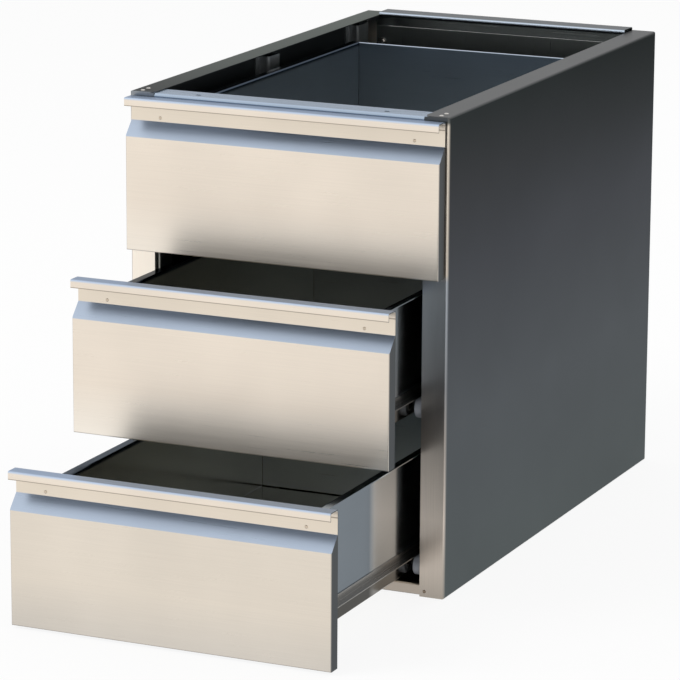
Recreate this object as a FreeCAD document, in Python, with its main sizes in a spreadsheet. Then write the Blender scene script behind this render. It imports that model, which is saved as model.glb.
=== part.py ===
import FreeCAD, Part

import math
import os

import Sketcher

# An outdoor kitchen drawer unit in folded stainless sheet, in millimetres.
# X runs to the right, Y to the back and Z up. The origin is the middle of the case's footprint, on the floor.
# The middle and bottom drawers stand open, as the unit is shown, and the top drawer is shut.

# Each driving dimension has a name, a value and a note.
DIMENSIONS = [
    ("case_width", 400, "outside width of the case"),
    ("case_depth", 670, "outside depth of the case"),
    ("case_height", 560, "height of the side panels"),
    ("case_sheet", 1.2, "sheet of the case, uprights and channels"),
    ("flange_width", 31, "inward flanges of the side panels"),
    ("bend_radius", 2, "inside radius of a bend in the case"),
    ("corner_round", 9, "rounded front corner of a top flange"),
    ("seam_gap", 0.3, "gap between two sheets that meet edge to edge"),
    ("rail_return", 8, "lower return of the front rail"),
    ("rail_clearance", 1.3, "front rail above the walls of the top drawer"),
    ("worktop_hole_spacing", 236, "between the two worktop holes"),
    ("worktop_hole_setback", 13, "worktop holes behind the case's front"),
    ("worktop_hole_radius", 3, "worktop holes"),
    ("rear_rail_depth", 30, "rear rail from front to back"),
    ("rear_rail_rise", 4, "rear rail above the side panels"),
    ("rear_rail_lip", 6, "front lip of the rear rail"),
    ("rear_rail_drop", 22, "rear leg of the rear rail"),
    ("back_overlap", 15, "back panel over the rear flanges"),
    ("floor_lip_height", 13.5, "upturned ends of the bottom panel"),
    ("floor_lip_return", 6, "folded top of the upturned front"),
    ("upright_depth", 15, "uprights out from a side panel"),
    ("upright_width", 31, "uprights from front to back"),
    ("upright_foot", 10, "welding feet of an upright"),
    ("upright_top_gap", 11, "side panel's top above the uprights"),
    ("upright_front_place", 60, "front uprights behind the case's front"),
    ("upright_middle_place", 356, "middle uprights behind the case's front"),
    ("upright_rear_gap", 45, "rear uprights ahead of the case's back"),
    ("drawer_sheet", 1, "sheet of the drawers"),
    ("lowest_front", 3.5, "bottom drawer front above the floor"),
    ("drawer_gap", 7.5, "between one drawer front and the next"),
    ("top_reveal", 4.5, "side panels above the top drawer front"),
    ("front_reveal", 4, "drawer front inside the case's width"),
    ("front_gap", 4, "upper strip of a front ahead of the case"),
    ("front_depth", 15.5, "main face ahead of the upper strip"),
    ("strip_height", 28.5, "upper strip of a front"),
    ("slope_rise", 17, "sloped finger recess"),
    ("cap_reach", 18.5, "cap ahead of the upper strip"),
    ("cap_lip", 9.7, "front lip of the cap"),
    ("front_bend", 1.5, "outside radius of the folds round a front"),
    ("cap_bend", 3, "outside radius of the fold behind the cap"),
    ("side_clearance", 5, "drawer flange inside the case's opening"),
    ("box_flange", 10, "outward flanges of a drawer box"),
    ("box_rear_gap", 126, "back of a shut drawer's box to the case's back"),
    ("box_floor", 22.5, "drawer floor above the front's lower edge"),
    ("box_drop", 15.7, "drawer walls below the top of the front"),
    ("hem_height", 9, "hem along the top of a drawer's back"),
    ("roller_radius", 12.5, "nylon rollers"),
    ("roller_width", 9, "nylon rollers"),
    ("roller_height", 30.7, "roller centres above the front's lower edge"),
    ("roller_clearance", 0.3, "tread to the track that it meets"),
    ("wall_clearance", 5, "front roller to the drawer wall"),
    ("channel_clearance", 5, "rear roller to the edge of its drawer flange"),
    ("front_roller_place", 15, "front rollers behind the case's front"),
    ("rear_roller_inset", 16, "rear rollers ahead of the back of their box"),
    ("pin_radius", 4, "roller pins"),
    ("pin_fit", 0.05, "running fit of a roller on its pin"),
    ("runner_leg", 8, "runner's leg up the drawer wall"),
    ("channel_back_gap", 20, "rear end of a channel to the case's back"),
    ("rivet_radius", 2.6, "rivet heads"),
    ("rivet_rise", 1.1, "rivet heads"),
    ("front_rivet_drop", 24, "rivets below the top of the front"),
    ("flange_rivet_inset", 12, "corner rivets in from the side panel"),
    ("flange_rivet_first", 7, "first corner rivet behind the case's front"),
    ("flange_rivet_spacing", 14, "between the two rivets of a corner"),
    ("floor_screw_inset", 6, "screws from the inner edge of a front flange"),
    ("floor_screw_height", 6.5, "screws through the foot of a front flange"),
    ("back_bolt_radius", 4, "heads of the back panel's bolts"),
    ("back_bolt_rise", 3, "heads of the back panel's bolts"),
    ("back_bolt_inset", 20.7, "outer pairs of back bolts from the panel's top and bottom edges"),
    ("middle_open", 134, "how far the middle drawer stands open"),
    ("bottom_open", 284, "how far the bottom drawer stands open"),
]

SIDES = [("left", -1), ("right", 1)]

document = FreeCAD.newDocument("drawer_unit")
sheet = document.addObject("Spreadsheet::Sheet", "Sizes")
pieces = []


class Size:
    """A length that holds its value and the expression that gives it from the sheet."""

    def __init__(self, text, value):
        self.text = text
        self.value = value

    def __add__(self, other):
        other = as_size(other)
        return Size(f"({self.text} + {other.text})", self.value + other.value)

    def __sub__(self, other):
        other = as_size(other)
        return Size(f"({self.text} - {other.text})", self.value - other.value)

    def __mul__(self, other):
        other = as_size(other)
        return Size(f"({self.text} * {other.text})", self.value * other.value)

    def __truediv__(self, other):
        other = as_size(other)
        return Size(f"({self.text} / {other.text})", self.value / other.value)

    def __neg__(self):
        return Size(f"(0 - {self.text})", -self.value)

    __rmul__ = __mul__


def as_size(number):
    if isinstance(number, Size):
        return number
    return Size(f"({number})", float(number))


def root(length):
    return Size(f"sqrt({length.text})", math.sqrt(length.value))


def fill_sheet():
    """Writes the driving dimensions to the sheet and returns them by name."""
    sizes = {}
    for row, (name, value, note) in enumerate(DIMENSIONS, start=1):
        sheet.set(f"A{row}", name)
        sheet.set(f"B{row}", str(value))
        sheet.set(f"C{row}", note)
        sheet.setAlias(f"B{row}", name)
        sizes[name] = Size(f"Sizes.{name}", float(value))
    document.recompute()
    return sizes


S = fill_sheet()
ZERO = as_size(0)

# The drawers from the top down, each with how far it stands open.
OPENINGS = {1: ZERO, 2: S["middle_open"], 3: S["bottom_open"]}
DRAWERS = list(OPENINGS)

# Planes and faces that several pieces share.
HALF = S["case_width"] / 2
FRONT = -S["case_depth"] / 2
BACK = S["case_depth"] / 2
INNER_WALL = HALF - S["case_sheet"]
OPENING = HALF - S["flange_width"]
UPRIGHT_FACE = INNER_WALL - S["upright_depth"]
BOX_EDGE = OPENING - S["side_clearance"]
BOX_WALL = BOX_EDGE - S["box_flange"]
UNDER_FLANGE = S["case_height"] - S["case_sheet"]
LOW_SEAM = 2 * S["case_sheet"] + S["seam_gap"]
RAIL_TOP = S["case_height"] + S["rear_rail_rise"]
BACK_TOP = RAIL_TOP - S["rear_rail_drop"] - S["seam_gap"]
STRIP_FACE = -S["front_gap"]
STRIP_BACK = STRIP_FACE + S["drawer_sheet"]
MAIN_FACE = STRIP_FACE - S["front_depth"]
STACK_HEIGHT = S["case_height"] - S["top_reveal"] - S["lowest_front"]
FRONT_HEIGHT = (STACK_HEIGHT - (len(DRAWERS) - 1) * S["drawer_gap"]) / len(DRAWERS)
DRAWER_PITCH = FRONT_HEIGHT + S["drawer_gap"]
SLOPE_TOP = FRONT_HEIGHT - S["strip_height"]
MAIN_HEIGHT = SLOPE_TOP - S["slope_rise"]
BOX_TOP = FRONT_HEIGHT - S["box_drop"]
BOX_LENGTH = S["case_depth"] - S["box_rear_gap"]
REAR_ROLLER = BOX_LENGTH - S["rear_roller_inset"]
BOX_FRONT = STRIP_BACK + S["drawer_sheet"]
RUNNER_FOOT = S["roller_height"] + S["roller_radius"] + S["roller_clearance"]
CHANNEL_GAP = S["roller_radius"] + S["roller_clearance"]
ARC_STEPS = 6
HEXAGON = 6
SAME_SPOT = 0.01


def level(drawer):
    """Height of a drawer front's lower edge above the floor."""
    return S["lowest_front"] + (DRAWERS[-1] - drawer) * DRAWER_PITCH


def piece(label, place=(ZERO, ZERO, ZERO), export=True):
    """Starts a sub-part whose placement is bound to the sheet."""
    body = document.addObject("PartDesign::Body", label)
    body.Label = label
    for axis, length in zip("xyz", place):
        body.setExpression(f"Placement.Base.{axis}", length.text)
    if export:
        pieces.append(body)
    return body


def drawer_place(drawer):
    """Where a drawer's pieces stand: shut at the case's front, less how far the drawer is open."""
    return (ZERO, FRONT - OPENINGS[drawer], level(drawer))


def sketch_on(body, plane, start):
    """A sketch on one of the body's own planes, moved to start along that plane's axis."""
    sketch = body.newObject("Sketcher::SketchObject", f"{body.Name}_sketch")
    base = [f for f in body.Origin.OriginFeatures if f.Role == f"{plane}_Plane"][0]
    sketch.AttachmentSupport = (base, [""])
    sketch.MapMode = "FlatFace"
    offset = -start if plane == "XZ" else start
    sketch.setExpression("AttachmentOffset.Base.z", offset.text)
    return sketch


def pin_point(sketch, geometry, point, place):
    """Binds a point of a sketch to its two lengths from the origin."""
    for kind, length in zip(("DistanceX", "DistanceY"), place):
        row = sketch.addConstraint(
            Sketcher.Constraint(kind, -1, 1, geometry, point, length.value)
        )
        sketch.setExpression(f"Constraints[{row}]", length.text)


def draw_outline(sketch, points):
    """Draws a closed outline through points given by sizes."""
    corners = [FreeCAD.Vector(x.value, y.value, 0) for x, y in points]
    first = sketch.GeometryCount
    count = len(points)
    for i in range(count):
        sketch.addGeometry(Part.LineSegment(corners[i], corners[(i + 1) % count]))
    for i in range(count):
        following = first + (i + 1) % count
        sketch.addConstraint(
            Sketcher.Constraint("Coincident", first + i, 2, following, 1)
        )
    for i, place in enumerate(points):
        pin_point(sketch, first + i, 1, place)


def draw_circles(sketch, centres, radius):
    for x, y in centres:
        centre = FreeCAD.Vector(x.value, y.value, 0)
        circle = sketch.addGeometry(
            Part.Circle(centre, FreeCAD.Vector(0, 0, 1), radius.value)
        )
        pin_point(sketch, circle, 3, (x, y))
        row = sketch.addConstraint(Sketcher.Constraint("Radius", circle, radius.value))
        sketch.setExpression(f"Constraints[{row}]", radius.text)


def extrude(body, kind, plane, low, high, draw):
    """Pads or pockets what draw puts in a sketch, from low to high along the plane's axis."""
    sketch = sketch_on(body, plane, low)
    draw(sketch)
    feature = body.newObject(f"PartDesign::{kind}", f"{body.Name}_{kind.lower()}")
    feature.Profile = sketch
    feature.setExpression("Length", (high - low).text)
    feature.Reversed = (plane == "XZ") == (kind == "Pad")
    document.recompute([feature])
    return feature


def add(body, plane, points, low, high):
    return extrude(body, "Pad", plane, low, high, lambda s: draw_outline(s, points))


def cut(body, plane, points, low, high):
    return extrude(body, "Pocket", plane, low, high, lambda s: draw_outline(s, points))


def add_discs(body, plane, centres, radius, low, high):
    return extrude(
        body, "Pad", plane, low, high, lambda s: draw_circles(s, centres, radius)
    )


def cut_discs(body, plane, centres, radius, low, high):
    return extrude(
        body, "Pocket", plane, low, high, lambda s: draw_circles(s, centres, radius)
    )


def plate(x, y):
    """Corners of a rectangle from two pairs of limits."""
    return [(x[0], y[0]), (x[1], y[0]), (x[1], y[1]), (x[0], y[1])]


def between(side, near, far):
    """Lower and upper limit of a stretch that lies on one side of the middle."""
    return (near, far) if side > 0 else (-far, -near)


def edge_names(body, test):
    """Names of the straight edges of the body's last feature whose two ends pass the test."""
    names = []
    for number, edge in enumerate(body.Tip.Shape.Edges, start=1):
        ends = [v.Point for v in edge.Vertexes]
        if len(ends) == 2 and edge.Curve.TypeId == "Part::GeomLine":
            if test(ends[0], ends[1]):
                names.append(f"Edge{number}")
    return names


def along(plane, spot):
    """A test for edges that stand square on a plane at one spot of it."""
    across = {"XY": (0, 1), "XZ": (0, 2), "YZ": (1, 2)}[plane]
    places = [length.value for length in spot]

    def test(a, b):
        return all(
            abs(end[axis] - place) < SAME_SPOT
            for end in (a, b)
            for axis, place in zip(across, places)
        )

    return test


def round_edges(body, names, radius):
    base = body.Tip
    fillet = body.newObject("PartDesign::Fillet", f"{body.Name}_bend")
    fillet.Base = (base, names)
    fillet.setExpression("Radius", radius.text)
    document.recompute([fillet])


def spots_edges(body, plane, spots):
    """Names of the edges that stand square on a plane at one of the spots."""
    names = []
    for spot in spots:
        names += edge_names(body, along(plane, spot))
    return names


def round_spots(body, plane, spots, radius):
    round_edges(body, spots_edges(body, plane, spots), radius)


def folded_outline(path, thickness, hand):
    """Closes a path of square folds to a sheet's section, and lists its tight and wide corners."""
    steps = []
    for (x0, y0), (x1, y1) in zip(path, path[1:]):
        dx, dy = x1.value - x0.value, y1.value - y0.value
        length = math.hypot(dx, dy)
        steps.append((round(dx / length), round(dy / length)))
    other, tight, wide = [], [], []
    for i, (x, y) in enumerate(path):
        near = steps[max(i - 1, 0)]
        far = steps[min(i, len(steps) - 1)]
        normals = {(-near[1] * hand, near[0] * hand), (-far[1] * hand, far[0] * hand)}
        across = sum(n[0] for n in normals)
        up = sum(n[1] for n in normals)
        twin = (x + across * thickness, y + up * thickness)
        other.append(twin)
        turn = (near[0] * far[1] - near[1] * far[0]) * hand
        if turn > 0:
            tight.append(twin)
            wide.append((x, y))
        if turn < 0:
            tight.append((x, y))
            wide.append(twin)
    return path + other[::-1], tight, wide


def fold(body, plane, path, thickness, low, high, hand, radius=None):
    """A folded sheet: a path of square folds with a thickness, run from low to high, with rounded bends."""
    outline, tight, wide = folded_outline(path, thickness, hand)
    add(body, plane, outline, low, high)
    if radius:
        round_spots(body, plane, tight, radius)
        round_spots(body, plane, wide, radius + thickness)


def side_panel(name, side):
    """A deep pan of one sheet: the wall with a flange turned inward along each of its four edges."""
    body = piece(f"side_panel_{name}")
    thick = S["case_sheet"]
    near, far = between(side, OPENING, HALF)
    deep, tall = (FRONT, BACK), (ZERO, S["case_height"])
    add(body, "YZ", plate(deep, tall), near, far)
    spots = [(side * HALF, deep[0]), (side * HALF, deep[1])]
    names = spots_edges(body, "XY", spots)
    names += spots_edges(body, "XZ", [(side * HALF, tall[0]), (side * HALF, tall[1])])
    round_edges(body, names, S["bend_radius"] + thick)
    near, far = between(side, OPENING, INNER_WALL)
    deep, tall = (FRONT + thick, BACK - thick), (thick, UNDER_FLANGE)
    cut(body, "YZ", plate(deep, tall), near, far)
    wall = side * INNER_WALL
    names = spots_edges(body, "XY", [(wall, deep[0]), (wall, deep[1])])
    names += spots_edges(body, "XZ", [(wall, tall[0]), (wall, tall[1])])
    round_edges(body, names, S["bend_radius"])
    corner = []
    size = S["corner_round"]
    for step in range(ARC_STEPS + 1):
        angle = math.pi / 2 * step / ARC_STEPS
        across = OPENING + size * round(1 - math.sin(angle), 6)
        corner.append((side * across, FRONT + size * round(1 - math.cos(angle), 6)))
    corner.append((side * OPENING, FRONT))
    cut(body, "XY", corner, UNDER_FLANGE, S["case_height"])


def front_rail():
    """The rail between the side panels at the front, with the two holes that hold a worktop."""
    body = piece("front_top_rail")
    web = FRONT + S["case_sheet"]
    low = level(1) + BOX_TOP + S["rail_clearance"]
    back = FRONT + S["flange_width"]
    path = [
        (back, UNDER_FLANGE),
        (FRONT, UNDER_FLANGE),
        (FRONT, low),
        (FRONT + S["rail_return"], low),
    ]
    half = OPENING - S["seam_gap"]
    fold(body, "YZ", path, S["case_sheet"], -half, half, 1, S["bend_radius"])
    tab = (UNDER_FLANGE - S["case_sheet"], UNDER_FLANGE)
    rear = (web + S["seam_gap"] + S["bend_radius"], back)
    reach = INNER_WALL - S["bend_radius"]
    for name, side in SIDES:
        near, far = between(side, half, reach)
        add(body, "YZ", plate(rear, tab), near, far)
    spot = FRONT + S["worktop_hole_setback"]
    away = S["worktop_hole_spacing"] / 2
    centres = [(-away, spot), (away, spot)]
    cut_discs(body, "XY", centres, S["worktop_hole_radius"], tab[0], tab[1])


def rear_rail():
    """The raised rail at the back, with a lip along its front and a leg that is bolted to the flanges."""
    body = piece("rear_top_rail")
    top = RAIL_TOP
    leg = BACK - S["case_sheet"]
    front = BACK - S["rear_rail_depth"]
    path = [
        (front, top - S["rear_rail_lip"]),
        (front, top),
        (leg, top),
        (leg, top - S["rear_rail_drop"]),
    ]
    half = OPENING - S["seam_gap"]
    fold(body, "YZ", path, S["case_sheet"], -half, half, -1, S["bend_radius"] / 2)
    foot = (top - S["rear_rail_drop"], UNDER_FLANGE - S["seam_gap"])
    deep = (leg - S["case_sheet"], leg)
    for name, side in SIDES:
        near, far = between(side, half, OPENING + S["back_overlap"])
        add(body, "YZ", plate(deep, foot), near, far)


def back_panel():
    """The flat sheet that closes the back, bolted to the rear flanges from inside."""
    body = piece("back_panel")
    leg = BACK - S["case_sheet"]
    half = OPENING + S["back_overlap"]
    deep, tall = (leg - S["case_sheet"], leg), (LOW_SEAM, BACK_TOP)
    add(body, "YZ", plate(deep, tall), -half, half)


def bottom_panel():
    """The floor of the case: its middle is pressed down between the side flanges, and its ends turn up."""
    body = piece("bottom_panel")
    thick = S["case_sheet"]
    wide = INNER_WALL - S["bend_radius"]
    front = FRONT + thick
    rear = BACK - 2 * thick
    lip = thick + S["floor_lip_height"]
    path = [
        (front + S["floor_lip_return"], lip),
        (front, lip),
        (front, thick),
        (rear, thick),
        (rear, lip),
    ]
    fold(body, "YZ", path, thick, -wide, wide, 1, S["bend_radius"] / 2)
    inner = OPENING - S["seam_gap"]
    well = (front + 2 * S["bend_radius"] + thick, rear - 2 * S["bend_radius"] - thick)
    add(body, "XY", plate((-inner, inner), well), ZERO, thick)
    rim = inner - thick
    hollow = (well[0] + thick, well[1] - thick)
    cut(body, "XY", plate((-rim, rim), hollow), thick, 2 * thick)


def upright(name, side, place_name, place):
    """A hat section welded inside a side panel, which carries the channels."""
    body = piece(f"upright_{place_name}_{name}")
    middle = FRONT + place
    half = S["upright_width"] / 2
    wall = side * INNER_WALL
    face = side * (UPRIGHT_FACE + S["case_sheet"])
    foot = half + S["upright_foot"]
    path = [
        (wall, middle - foot),
        (wall, middle - half),
        (face, middle - half),
        (face, middle + half),
        (wall, middle + half),
        (wall, middle + foot),
    ]
    top = S["case_height"] - S["upright_top_gap"]
    fold(body, "XY", path, S["case_sheet"], LOW_SEAM, top, side)


def channel(drawer, name, side):
    """The channel that a drawer's rear roller runs in, open towards the drawer."""
    body = piece(f"channel_{drawer}_{name}")
    centre = level(drawer) + S["roller_height"]
    low = centre - CHANNEL_GAP - S["case_sheet"]
    high = centre + CHANNEL_GAP + S["case_sheet"]
    web = side * UPRIGHT_FACE
    mouth = side * OPENING
    path = [(mouth, low), (web, low), (web, high), (mouth, high)]
    front = FRONT + S["case_sheet"] + S["seam_gap"]
    rear = BACK - S["channel_back_gap"]
    fold(body, "XZ", path, S["case_sheet"], front, rear, side)


def roller(label, place):
    """A plain nylon roller, turned about the X axis, with a bore that runs on its pin."""
    body = piece(label, place)
    sketch = sketch_on(body, "XZ", ZERO)
    half = S["roller_width"] / 2
    bore = S["pin_radius"] + S["pin_fit"]
    draw_outline(sketch, plate((-half, half), (bore, S["roller_radius"])))
    turn = body.newObject("PartDesign::Revolution", f"{body.Name}_turn")
    turn.Profile = sketch
    turn.ReferenceAxis = (sketch, ["H_Axis"])
    turn.Angle = 360


def front_roller(drawer, name, side):
    """The roller behind the case's front that carries the drawer's runner."""
    middle = BOX_WALL + S["wall_clearance"] + S["roller_width"] / 2
    height = level(drawer) + S["roller_height"]
    place = (side * middle, FRONT + S["front_roller_place"], height)
    roller(f"front_roller_{drawer}_{name}", place)


def rear_roller(drawer, name, side):
    """The roller at the drawer's rear end, inside the channel."""
    middle = BOX_EDGE + S["channel_clearance"] + S["roller_width"] / 2
    slid = FRONT + REAR_ROLLER - OPENINGS[drawer]
    place = (side * middle, slid, level(drawer) + S["roller_height"])
    roller(f"rear_roller_{drawer}_{name}", place)


def front_pins():
    """The six pins of the front rollers, on the webs of the channels."""
    body = piece("front_roller_pins")
    spot = FRONT + S["front_roller_place"]
    centres = [(spot, level(n) + S["roller_height"]) for n in DRAWERS]
    tip = BOX_WALL + S["wall_clearance"]
    web = UPRIGHT_FACE - S["case_sheet"]
    for name, side in SIDES:
        near, far = between(side, tip, web)
        add_discs(body, "YZ", centres, S["pin_radius"], near, far)


def rear_pins(drawer):
    """The two pins of a drawer's rear rollers, on the drawer's walls."""
    body = piece(f"drawer_{drawer}_roller_pins", drawer_place(drawer))
    centres = [(REAR_ROLLER, S["roller_height"])]
    tip = BOX_EDGE + S["channel_clearance"] + S["roller_width"]
    for name, side in SIDES:
        near, far = between(side, BOX_WALL, tip)
        add_discs(body, "YZ", centres, S["pin_radius"], near, far)


def drawer_front(drawer):
    """A front folded from one sheet: bottom return, main face, finger slope, strip and hooked cap."""
    body = piece(f"drawer_{drawer}_front", drawer_place(drawer))
    thick = S["drawer_sheet"]
    half = HALF - S["front_reveal"]
    top = FRONT_HEIGHT
    cap = STRIP_FACE - S["cap_reach"]
    rise, run = S["slope_rise"], S["front_depth"]
    tilt = thick * (rise - root(rise * rise + run * run)) / run
    outline = [
        (STRIP_BACK, ZERO),
        (MAIN_FACE, ZERO),
        (MAIN_FACE, MAIN_HEIGHT),
        (STRIP_FACE, SLOPE_TOP),
        (STRIP_FACE, top - thick),
        (cap + thick, top - thick),
        (cap + thick, top - S["cap_lip"]),
        (cap, top - S["cap_lip"]),
        (cap, top),
        (STRIP_BACK, top),
        (STRIP_BACK, SLOPE_TOP + tilt),
        (MAIN_FACE + thick, MAIN_HEIGHT + tilt),
        (MAIN_FACE + thick, thick),
        (STRIP_BACK, thick),
    ]
    add(body, "YZ", outline, -half, half)
    round_spots(body, "YZ", [(STRIP_BACK, top)], S["cap_bend"])
    round_spots(body, "YZ", [(STRIP_FACE, top - thick)], S["cap_bend"] - thick)
    round_spots(body, "YZ", [(cap, top)], S["front_bend"])
    cheek = [
        (STRIP_BACK, ZERO),
        (MAIN_FACE, ZERO),
        (MAIN_FACE, MAIN_HEIGHT),
        (STRIP_FACE, SLOPE_TOP),
        (STRIP_BACK, SLOPE_TOP),
    ]
    for name, side in SIDES:
        near, far = between(side, half - thick, half)
        add(body, "YZ", cheek, near, far)
    reach = half.value
    names = edge_names(
        body,
        lambda a, b: max(abs(a.y - MAIN_FACE.value), abs(b.y - MAIN_FACE.value)) < SAME_SPOT
        and (
            (abs(abs(a.x) - reach) < SAME_SPOT and abs(a.x - b.x) < SAME_SPOT)
            or (max(a.z, b.z) < SAME_SPOT)
        ),
    )
    round_edges(body, names, S["front_bend"])


def drawer_box(drawer):
    """Floor and both walls in one sheet, with flanges turned outward along the tops and front ends."""
    body = piece(f"drawer_{drawer}_box", drawer_place(drawer))
    thick = S["drawer_sheet"]
    inside = BOX_WALL - thick
    low = S["box_floor"] + thick
    top = BOX_TOP
    path = [
        (-BOX_EDGE, top),
        (-inside, top),
        (-inside, low),
        (inside, low),
        (inside, top),
        (BOX_EDGE, top),
    ]
    fold(body, "XZ", path, thick, STRIP_BACK, BOX_LENGTH, -1, S["bend_radius"] / 2)
    foot = RUNNER_FOOT + thick + S["runner_leg"]
    for name, side in SIDES:
        near, far = between(side, BOX_WALL, BOX_EDGE)
        add(body, "YZ", plate((STRIP_BACK, BOX_FRONT), (foot, top - thick)), near, far)


def drawer_end(drawer, name, front):
    """A flat end of a drawer box between its walls, with a hem along its top."""
    body = piece(f"drawer_{drawer}_{name}", drawer_place(drawer))
    thick = S["drawer_sheet"]
    half = BOX_WALL - thick - S["seam_gap"]
    low = S["box_floor"] + thick + S["seam_gap"] + S["bend_radius"] / 2
    top = BOX_TOP
    add(body, "XZ", plate((-half, half), (low, top)), front, front + thick)
    return body, half, top


def inner_front(drawer):
    drawer_end(drawer, "inner_front", STRIP_BACK)


def drawer_back(drawer):
    thick = S["drawer_sheet"]
    front = BOX_LENGTH - 3 * thick
    body, half, top = drawer_end(drawer, "back", front)
    hem = (front + thick, front + 2.5 * thick)
    add(body, "YZ", plate(hem, (top - S["hem_height"], top)), -half, half)


def runner(drawer, name, side):
    """An angle on the drawer's wall whose lower leg rides on the front roller."""
    body = piece(f"drawer_{drawer}_runner_{name}", drawer_place(drawer))
    thick = S["drawer_sheet"]
    path = [
        (side * BOX_WALL, RUNNER_FOOT + thick + S["runner_leg"]),
        (side * BOX_WALL, RUNNER_FOOT),
        (side * BOX_EDGE, RUNNER_FOOT),
    ]
    rear = BOX_LENGTH
    fold(body, "XZ", path, thick, BOX_FRONT, rear, side, S["bend_radius"] / 2)


def heads(label, plane, centres, low, high, place=(ZERO, ZERO, ZERO)):
    """Low round heads that sit on a sheet, drawn together."""
    add_discs(piece(label, place), plane, centres, S["rivet_radius"], low, high)


def front_rivets(drawer):
    """The two rivets that hold a front's strip to the flanges of its box."""
    away = (BOX_WALL + BOX_EDGE) / 2
    height = FRONT_HEIGHT - S["front_rivet_drop"]
    centres = [(-away, height), (away, height)]
    outer = STRIP_FACE - S["rivet_rise"]
    label = f"drawer_{drawer}_rivets"
    heads(label, "XZ", centres, outer, STRIP_FACE, drawer_place(drawer))


def corner_rivets():
    """Two rivets at each front corner that hold the front rail under the top flanges."""
    away = INNER_WALL - S["flange_rivet_inset"]
    first = FRONT + S["flange_rivet_first"]
    second = first + S["flange_rivet_spacing"]
    centres = [(side * away, spot) for name, side in SIDES for spot in (first, second)]
    top = S["case_height"] + S["rivet_rise"]
    heads("corner_rivets", "XY", centres, S["case_height"], top)


def floor_screws():
    """The screw at the foot of each front flange, which holds the upturned front of the bottom panel."""
    away = OPENING + S["floor_screw_inset"]
    height = S["floor_screw_height"]
    centres = [(side * away, height) for name, side in SIDES]
    outer = FRONT - S["rivet_rise"]
    heads("floor_screws", "XZ", centres, outer, FRONT)


def back_bolts():
    """Hexagon heads inside the case that hold the back panel to the rear flanges."""
    body = piece("back_bolts")
    away = OPENING + S["back_overlap"] / 2
    inner = BACK - 2 * S["case_sheet"]
    radius = S["back_bolt_radius"]
    low, high = LOW_SEAM + S["back_bolt_inset"], BACK_TOP - S["back_bolt_inset"]
    for name, side in SIDES:
        for height in (low, (low + high) / 2, high):
            middle = side * away
            corners = []
            for turn in range(HEXAGON):
                angle = 2 * math.pi * turn / HEXAGON
                across = round(math.cos(angle), 6) * radius
                up = round(math.sin(angle), 6) * radius
                corners.append((middle + across, height + up))
            add(body, "XZ", corners, inner - S["back_bolt_rise"], inner)


def build():
    for name, side in SIDES:
        side_panel(name, side)
    front_rail()
    rear_rail()
    back_panel()
    bottom_panel()
    for name, side in SIDES:
        upright(name, side, "front", S["upright_front_place"])
        upright(name, side, "middle", S["upright_middle_place"])
        upright(name, side, "rear", S["case_depth"] - S["upright_rear_gap"])
    corner_rivets()
    floor_screws()
    back_bolts()
    front_pins()
    for drawer in DRAWERS:
        for name, side in SIDES:
            channel(drawer, name, side)
            front_roller(drawer, name, side)
            rear_roller(drawer, name, side)
            runner(drawer, name, side)
        drawer_front(drawer)
        drawer_box(drawer)
        inner_front(drawer)
        drawer_back(drawer)
        rear_pins(drawer)
        front_rivets(drawer)


def check_and_write():
    """Stops at any failed object or unsound shape, then writes one file per piece."""
    document.recompute()
    for item in document.Objects:
        if "Invalid" in item.State or "Error" in item.State:
            raise RuntimeError(f"{item.Label} failed: {item.State}")
    for body in pieces:
        if body.Shape.isNull() or not body.Shape.isValid():
            raise RuntimeError(f"{body.Label} has no sound shape")
    os.makedirs("parts", exist_ok=True)
    for body in pieces:
        body.Shape.exportStep(f"parts/{body.Label}.step")
        print(body.Label, len(body.Shape.Solids), "solids", round(body.Shape.Volume), "mm3")
    print(len(pieces), "pieces")


build()
check_and_write()
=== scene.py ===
# %% [markdown]
# # An outdoor kitchen drawer unit in stainless sheet
# The real unit is a case folded from 1.2 mm stainless sheet, open on top for a worktop, with three wide
# drawers on nylon rollers. The drawers' fronts are ground along their width, and the sides upright.
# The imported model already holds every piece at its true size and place, so this script loads it first.
# What is left to do is the look: finishes, soft edges, rollers and fasteners with their true shapes, real
# bends in the plain angles and channels, a floor, light and a camera.

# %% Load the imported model
import math

import bmesh
import bpy
from mathutils import Matrix, Vector


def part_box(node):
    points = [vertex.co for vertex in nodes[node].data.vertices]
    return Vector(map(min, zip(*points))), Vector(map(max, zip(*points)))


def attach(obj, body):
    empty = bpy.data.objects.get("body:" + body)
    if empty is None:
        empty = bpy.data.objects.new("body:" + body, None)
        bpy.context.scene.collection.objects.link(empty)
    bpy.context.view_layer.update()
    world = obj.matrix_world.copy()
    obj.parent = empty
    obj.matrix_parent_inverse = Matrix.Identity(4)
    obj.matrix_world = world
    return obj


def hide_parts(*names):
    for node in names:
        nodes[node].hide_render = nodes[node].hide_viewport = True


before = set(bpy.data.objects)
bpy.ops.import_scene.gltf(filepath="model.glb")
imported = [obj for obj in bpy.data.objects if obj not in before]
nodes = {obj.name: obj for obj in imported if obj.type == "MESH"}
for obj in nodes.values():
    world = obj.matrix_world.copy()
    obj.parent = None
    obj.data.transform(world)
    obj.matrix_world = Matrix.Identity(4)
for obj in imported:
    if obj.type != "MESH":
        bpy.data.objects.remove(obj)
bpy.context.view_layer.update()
MM = 0.001
DRAWERS = (1, 2, 3)
SIDES = {"left": -1, "right": 1}

# %% [markdown]
# ## The camera
# Straight edges that run to three vanishing points give the camera of a photograph: here 24 degrees to the
# right of the front and 14 degrees above the floor, 4.6 m away, with a long lens. A camera is easier to
# check when its place and its three axes are written out than when it is aimed by a constraint.

# %% Make the camera
PICTURE_WIDTH = 680
SENSOR_WIDTH = 36
FOCAL_LENGTH_IN_PIXELS = 3891.8
CAMERA_PLACE = (1.8435, -4.2652, 1.3411)
azimuth, elevation, roll = (math.radians(angle) for angle in (24.32, 13.67, 0.32))

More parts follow.
